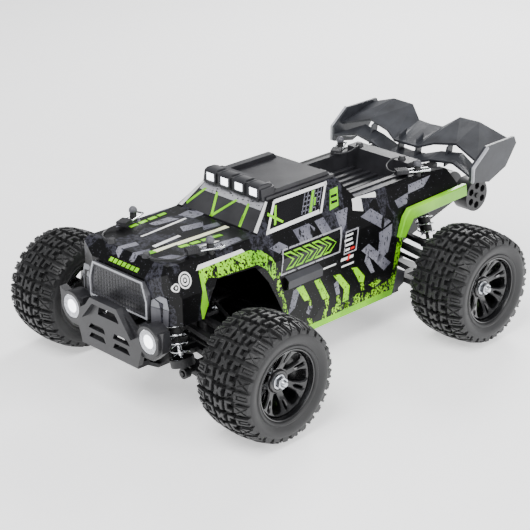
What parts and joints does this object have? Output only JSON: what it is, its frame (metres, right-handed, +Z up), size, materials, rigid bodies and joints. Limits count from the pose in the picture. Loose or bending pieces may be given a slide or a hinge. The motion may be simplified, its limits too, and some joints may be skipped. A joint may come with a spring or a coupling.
{
  "type": "radio-controlled monster truck",
  "caption": "Four-wheel-drive toy monster truck with chunky tyres, coil-over suspension, clip-on camouflage body, lamp bar, wing and wheelie rollers.",
  "frame": {"origin": "on the ground at the centre of the truck's bounding box", "axes": "+Z up, nose to -Y, the truck's left side to +X"},
  "size_m": [0.252, 0.387, 0.137],
  "materials": {
    "tyre_rubber": "moulded rubber",
    "rim_plastic": "gloss",
    "arm_plastic": "satin moulded",
    "tub_plastic": "fine grain",
    "steel": "machined",
    "chrome": "plated",
    "aluminium_grey": "anodised",
    "shell_paint": "painted polycarbonate",
    "dark_grey_plastic": "satin",
    "wing_plastic": "satin",
    "lamp_lens": "lit clear lens",
    "battery_wrap": "shrink wrap",
    "rubber": "soft moulded",
    "nylon_gear": "moulded nylon"
  },
  "bodies": {
    "chassis": {"chassis_tub": "tub_plastic", "front_bumper": "dark_grey_plastic", "lamp_lenses": "lamp_lens", "gearbox_housings": "arm_plastic", "shock_towers": "arm_plastic", "motor": "steel", "battery_pack": "battery_wrap", "receiver_unit": "tub_plastic", "steering_servo": "tub_plastic", "rear_wing": "wing_plastic", "rear_bracket": "arm_plastic", "body_shell": "shell_paint", "roof_panel": "dark_grey_plastic", "cargo_bed": "dark_grey_plastic", "grille_guard": "dark_grey_plastic", "body_clips": "rubber", "fasteners": "steel", "coil_springs": "chrome"},
    "front_left_lower_arm": {"front_left_lower_arm": "arm_plastic"},
    "front_left_upper_arm": {"front_left_upper_arm": "arm_plastic"},
    "front_left_hub_carrier": {"front_left_hub_carrier": "arm_plastic"},
    "front_left_knuckle": {"front_left_knuckle": "arm_plastic"},
    "front_left_wheel": {"front_left_tyre": "tyre_rubber", "front_left_rim": "rim_plastic"},
    "front_left_half_shaft": {"front_left_half_shaft": "steel"},
    "front_left_shock_body": {"front_left_shock_body": "arm_plastic"},
    "front_left_shock_shaft": {"front_left_shock_shaft": "steel"},
    "front_right_lower_arm": {"front_right_lower_arm": "arm_plastic"},
    "front_right_upper_arm": {"front_right_upper_arm": "arm_plastic"},
    "front_right_hub_carrier": {"front_right_hub_carrier": "arm_plastic"},
    "front_right_knuckle": {"front_right_knuckle": "arm_plastic"},
    "front_right_wheel": {"front_right_tyre": "tyre_rubber", "front_right_rim": "rim_plastic"},
    "front_right_half_shaft": {"front_right_half_shaft": "steel"},
    "front_right_shock_body": {"front_right_shock_body": "arm_plastic"},
    "front_right_shock_shaft": {"front_right_shock_shaft": "steel"},
    "rear_left_lower_arm": {"rear_left_lower_arm": "arm_plastic"},
    "rear_left_upper_arm": {"rear_left_upper_arm": "arm_plastic"},
    "rear_left_hub_carrier": {"rear_left_hub_carrier": "arm_plastic"},
    "rear_left_wheel": {"rear_left_tyre": "tyre_rubber", "rear_left_rim": "rim_plastic"},
    "rear_left_half_shaft": {"rear_left_half_shaft": "steel"},
    "rear_left_shock_body": {"rear_left_shock_body": "arm_plastic"},
    "rear_left_shock_shaft": {"rear_left_shock_shaft": "steel"},
    "rear_right_lower_arm": {"rear_right_lower_arm": "arm_plastic"},
    "rear_right_upper_arm": {"rear_right_upper_arm": "arm_plastic"},
    "rear_right_hub_carrier": {"rear_right_hub_carrier": "arm_plastic"},
    "rear_right_wheel": {"rear_right_tyre": "tyre_rubber", "rear_right_rim": "rim_plastic"},
    "rear_right_half_shaft": {"rear_right_half_shaft": "steel"},
    "rear_right_shock_body": {"rear_right_shock_body": "arm_plastic"},
    "rear_right_shock_shaft": {"rear_right_shock_shaft": "steel"},
    "steering_crank": {"steering_crank": "arm_plastic"},
    "idler_crank": {"idler_crank": "arm_plastic"},
    "steering_cross_link": {"steering_cross_link": "aluminium_grey"},
    "tie_rod_left": {"tie_rod_left": "arm_plastic"},
    "tie_rod_right": {"tie_rod_right": "arm_plastic"},
    "centre_drive_shaft": {"centre_drive_shaft": "nylon_gear"},
    "motor_pinion": {"motor_pinion": "steel"},
    "wheelie_rollers": {"wheelie_rollers": "arm_plastic"}
  },
  "joints": [
    {"name": "front_left_suspension", "type": "hinge", "parent": "chassis", "child": "front_left_lower_arm", "pos_m": [0.02, -0.1415, 0.035], "axis": [0, -1, 0], "range_deg": [-4, 14], "stiffness_Nm_per_rad": 1.05, "springref_deg": -7.45},
    {"name": "front_left_upper_arm_hinge", "type": "hinge", "parent": "chassis", "child": "front_left_upper_arm", "pos_m": [0.02, -0.1415, 0.061], "axis": [0, -1, 0], "range_deg": [-5, 15]},
    {"name": "front_left_carrier_hinge", "type": "hinge", "parent": "front_left_lower_arm", "child": "front_left_hub_carrier", "pos_m": [0.072, -0.1415, 0.03], "axis": [0, -1, 0], "range_deg": [-15, 5]},
    {"name": "front_left_kingpin", "type": "hinge", "parent": "front_left_hub_carrier", "child": "front_left_knuckle", "pos_m": [0.082, -0.1415, 0.043], "axis": [0, 0, 1], "range_deg": [-26, 26]},
    {"name": "front_left_wheel_spin", "type": "hinge", "parent": "front_left_knuckle", "child": "front_left_wheel", "pos_m": [0.102, -0.1415, 0.043], "axis": [1, 0, 0], "continuous": true},
    {"name": "front_left_half_shaft_swing", "type": "hinge", "parent": "chassis", "child": "front_left_half_shaft", "pos_m": [0.02, -0.1415, 0.048], "axis": [0, -1, 0], "range_deg": [-4, 12.5]},
    {"name": "front_left_shock_pivot", "type": "hinge", "parent": "chassis", "child": "front_left_shock_body", "pos_m": [0.032, -0.162, 0.089], "axis": [0, -1, 0], "range_deg": [-1, 2.5]},
    {"name": "front_left_shock_travel", "type": "slide", "parent": "front_left_shock_body", "child": "front_left_shock_shaft", "axis": [-0.2953, 0, 0.9554], "range_m": [-0.0021, 0.007], "deforming": ["coil_springs"]},
    {"name": "front_right_suspension", "type": "hinge", "parent": "chassis", "child": "front_right_lower_arm", "pos_m": [-0.02, -0.1415, 0.035], "axis": [0, 1, 0], "range_deg": [-4, 14], "stiffness_Nm_per_rad": 1.05, "springref_deg": -7.45},
    {"name": "front_right_upper_arm_hinge", "type": "hinge", "parent": "chassis", "child": "front_right_upper_arm", "pos_m": [-0.02, -0.1415, 0.061], "axis": [0, 1, 0], "range_deg": [-5, 15]},
    {"name": "front_right_carrier_hinge", "type": "hinge", "parent": "front_right_lower_arm", "child": "front_right_hub_carrier", "pos_m": [-0.072, -0.1415, 0.03], "axis": [0, 1, 0], "range_deg": [-15, 5]},
    {"name": "front_right_kingpin", "type": "hinge", "parent": "front_right_hub_carrier", "child": "front_right_knuckle", "pos_m": [-0.082, -0.1415, 0.043], "axis": [0, 0, 1], "range_deg": [-26, 26]},
    {"name": "front_right_wheel_spin", "type": "hinge", "parent": "front_right_knuckle", "child": "front_right_wheel", "pos_m": [-0.102, -0.1415, 0.043], "axis": [1, 0, 0], "continuous": true},
    {"name": "front_right_half_shaft_swing", "type": "hinge", "parent": "chassis", "child": "front_right_half_shaft", "pos_m": [-0.02, -0.1415, 0.048], "axis": [0, 1, 0], "range_deg": [-4, 12.5]},
    {"name": "front_right_shock_pivot", "type": "hinge", "parent": "chassis", "child": "front_right_shock_body", "pos_m": [-0.032, -0.162, 0.089], "axis": [0, 1, 0], "range_deg": [-1, 2.5]},
    {"name": "front_right_shock_travel", "type": "slide", "parent": "front_right_shock_body", "child": "front_right_shock_shaft", "axis": [0.2953, 0, 0.9554], "range_m": [-0.0021, 0.007]},
    {"name": "rear_left_suspension", "type": "hinge", "parent": "chassis", "child": "rear_left_lower_arm", "pos_m": [0.02, 0.0695, 0.035], "axis": [0, -1, 0], "range_deg": [-4, 14], "stiffness_Nm_per_rad": 1.05, "springref_deg": -7.45},
    {"name": "rear_left_upper_arm_hinge", "type": "hinge", "parent": "chassis", "child": "rear_left_upper_arm", "pos_m": [0.02, 0.0695, 0.061], "axis": [0, -1, 0], "range_deg": [-5, 15]},
    {"name": "rear_left_carrier_hinge", "type": "hinge", "parent": "rear_left_lower_arm", "child": "rear_left_hub_carrier", "pos_m": [0.072, 0.0695, 0.03], "axis": [0, -1, 0], "range_deg": [-15, 5]},
    {"name": "rear_left_wheel_spin", "type": "hinge", "parent": "rear_left_hub_carrier", "child": "rear_left_wheel", "pos_m": [0.102, 0.0695, 0.043], "axis": [1, 0, 0], "continuous": true},
    {"name": "rear_left_half_shaft_swing", "type": "hinge", "parent": "chassis", "child": "rear_left_half_shaft", "pos_m": [0.02, 0.0695, 0.048], "axis": [0, -1, 0], "range_deg": [-4, 12.5]},
    {"name": "rear_left_shock_pivot", "type": "hinge", "parent": "chassis", "child": "rear_left_shock_body", "pos_m": [0.032, 0.09, 0.089], "axis": [0, -1, 0], "range_deg": [-1, 2.5]},
    {"name": "rear_left_shock_travel", "type": "slide", "parent": "rear_left_shock_body", "child": "rear_left_shock_shaft", "axis": [-0.2953, 0, 0.9554], "range_m": [-0.0021, 0.007]},
    {"name": "rear_right_suspension", "type": "hinge", "parent": "chassis", "child": "rear_right_lower_arm", "pos_m": [-0.02, 0.0695, 0.035], "axis": [0, 1, 0], "range_deg": [-4, 14], "stiffness_Nm_per_rad": 1.05, "springref_deg": -7.45},
    {"name": "rear_right_upper_arm_hinge", "type": "hinge", "parent": "chassis", "child": "rear_right_upper_arm", "pos_m": [-0.02, 0.0695, 0.061], "axis": [0, 1, 0], "range_deg": [-5, 15]},
    {"name": "rear_right_carrier_hinge", "type": "hinge", "parent": "rear_right_lower_arm", "child": "rear_right_hub_carrier", "pos_m": [-0.072, 0.0695, 0.03], "axis": [0, 1, 0], "range_deg": [-15, 5]},
    {"name": "rear_right_wheel_spin", "type": "hinge", "parent": "rear_right_hub_carrier", "child": "rear_right_wheel", "pos_m": [-0.102, 0.0695, 0.043], "axis": [1, 0, 0], "continuous": true},
    {"name": "rear_right_half_shaft_swing", "type": "hinge", "parent": "chassis", "child": "rear_right_half_shaft", "pos_m": [-0.02, 0.0695, 0.048], "axis": [0, 1, 0], "range_deg": [-4, 12.5]},
    {"name": "rear_right_shock_pivot", "type": "hinge", "parent": "chassis", "child": "rear_right_shock_body", "pos_m": [-0.032, 0.09, 0.089], "axis": [0, 1, 0], "range_deg": [-1, 2.5]},
    {"name": "rear_right_shock_travel", "type": "slide", "parent": "rear_right_shock_body", "child": "rear_right_shock_shaft", "axis": [0.2953, 0, 0.9554], "range_m": [-0.0021, 0.007]},
    {"name": "steering", "type": "hinge", "parent": "chassis", "child": "steering_crank", "pos_m": [-0.014, -0.1175, 0.048], "axis": [0, 0, 1], "range_deg": [-25, 25]},
    {"name": "idler_crank_hinge", "type": "hinge", "parent": "chassis", "child": "idler_crank", "pos_m": [0.014, -0.1175, 0.048], "axis": [0, 0, 1], "range_deg": [-26, 26]},
    {"name": "cross_link_hinge", "type": "hinge", "parent": "steering_crank", "child": "steering_cross_link", "pos_m": [-0.014, -0.1055, 0.0515], "axis": [0, 0, 1], "range_deg": [-26, 26]},
    {"name": "tie_rod_left_hinge", "type": "hinge", "parent": "steering_cross_link", "child": "tie_rod_left", "pos_m": [0.014, -0.1055, 0.0565], "axis": [0, -1, 0], "range_deg": [-4, 12]},
    {"name": "tie_rod_right_hinge", "type": "hinge", "parent": "steering_cross_link", "child": "tie_rod_right", "pos_m": [-0.014, -0.1055, 0.0565], "axis": [0, 1, 0], "range_deg": [-4, 12]},
    {"name": "driveline", "type": "hinge", "parent": "chassis", "child": "centre_drive_shaft", "pos_m": [0, -0.016, 0.048], "axis": [0, 1, 0], "continuous": true},
    {"name": "motor_shaft", "type": "hinge", "parent": "chassis", "child": "motor_pinion", "pos_m": [-0.02107, -0.016, 0.041], "axis": [0, 1, 0], "continuous": true},
    {"name": "wheelie_roller_spin", "type": "hinge", "parent": "chassis", "child": "wheelie_rollers", "pos_m": [0, 0.18, 0.0606], "axis": [1, 0, 0], "continuous": true}
  ],
  "couplings": [
    {"joint": "front_left_upper_arm_hinge", "follows": "front_left_suspension", "ratio": 1},
    {"joint": "front_left_carrier_hinge", "follows": "front_left_suspension", "ratio": -1},
    {"joint": "front_left_kingpin", "follows": "steering", "ratio": 1},
    {"joint": "front_left_half_shaft_swing", "follows": "front_left_suspension", "ratio": 0.84},
    {"joint": "front_left_shock_pivot", "follows": "front_left_suspension", "ratio": 0.134},
    {"joint": "front_left_shock_travel", "follows": "front_left_suspension", "m_per_rad": 0.028},
    {"joint": "front_right_upper_arm_hinge", "follows": "front_right_suspension", "ratio": 1},
    {"joint": "front_right_carrier_hinge", "follows": "front_right_suspension", "ratio": -1},
    {"joint": "front_right_kingpin", "follows": "steering", "ratio": 1},
    {"joint": "front_right_half_shaft_swing", "follows": "front_right_suspension", "ratio": 0.84},
    {"joint": "front_right_shock_pivot", "follows": "front_right_suspension", "ratio": 0.134},
    {"joint": "front_right_shock_travel", "follows": "front_right_suspension", "m_per_rad": 0.028},
    {"joint": "rear_left_upper_arm_hinge", "follows": "rear_left_suspension", "ratio": 1},
    {"joint": "rear_left_carrier_hinge", "follows": "rear_left_suspension", "ratio": -1},
    {"joint": "rear_left_half_shaft_swing", "follows": "rear_left_suspension", "ratio": 0.84},
    {"joint": "rear_left_shock_pivot", "follows": "rear_left_suspension", "ratio": 0.134},
    {"joint": "rear_left_shock_travel", "follows": "rear_left_suspension", "m_per_rad": 0.028},
    {"joint": "rear_right_upper_arm_hinge", "follows": "rear_right_suspension", "ratio": 1},
    {"joint": "rear_right_carrier_hinge", "follows": "rear_right_suspension", "ratio": -1},
    {"joint": "rear_right_half_shaft_swing", "follows": "rear_right_suspension", "ratio": 0.84},
    {"joint": "rear_right_shock_pivot", "follows": "rear_right_suspension", "ratio": 0.134},
    {"joint": "rear_right_shock_travel", "follows": "rear_right_suspension", "m_per_rad": 0.028},
    {"joint": "idler_crank_hinge", "follows": "steering", "ratio": 1},
    {"joint": "cross_link_hinge", "follows": "steering", "ratio": -1},
    {"joint": "tie_rod_left_hinge", "follows": "front_left_suspension", "ratio": 0.7665},
    {"joint": "tie_rod_right_hinge", "follows": "front_right_suspension", "ratio": 0.7665},
    {"joint": "motor_shaft", "follows": "driveline", "ratio": -2.7}
  ]
}
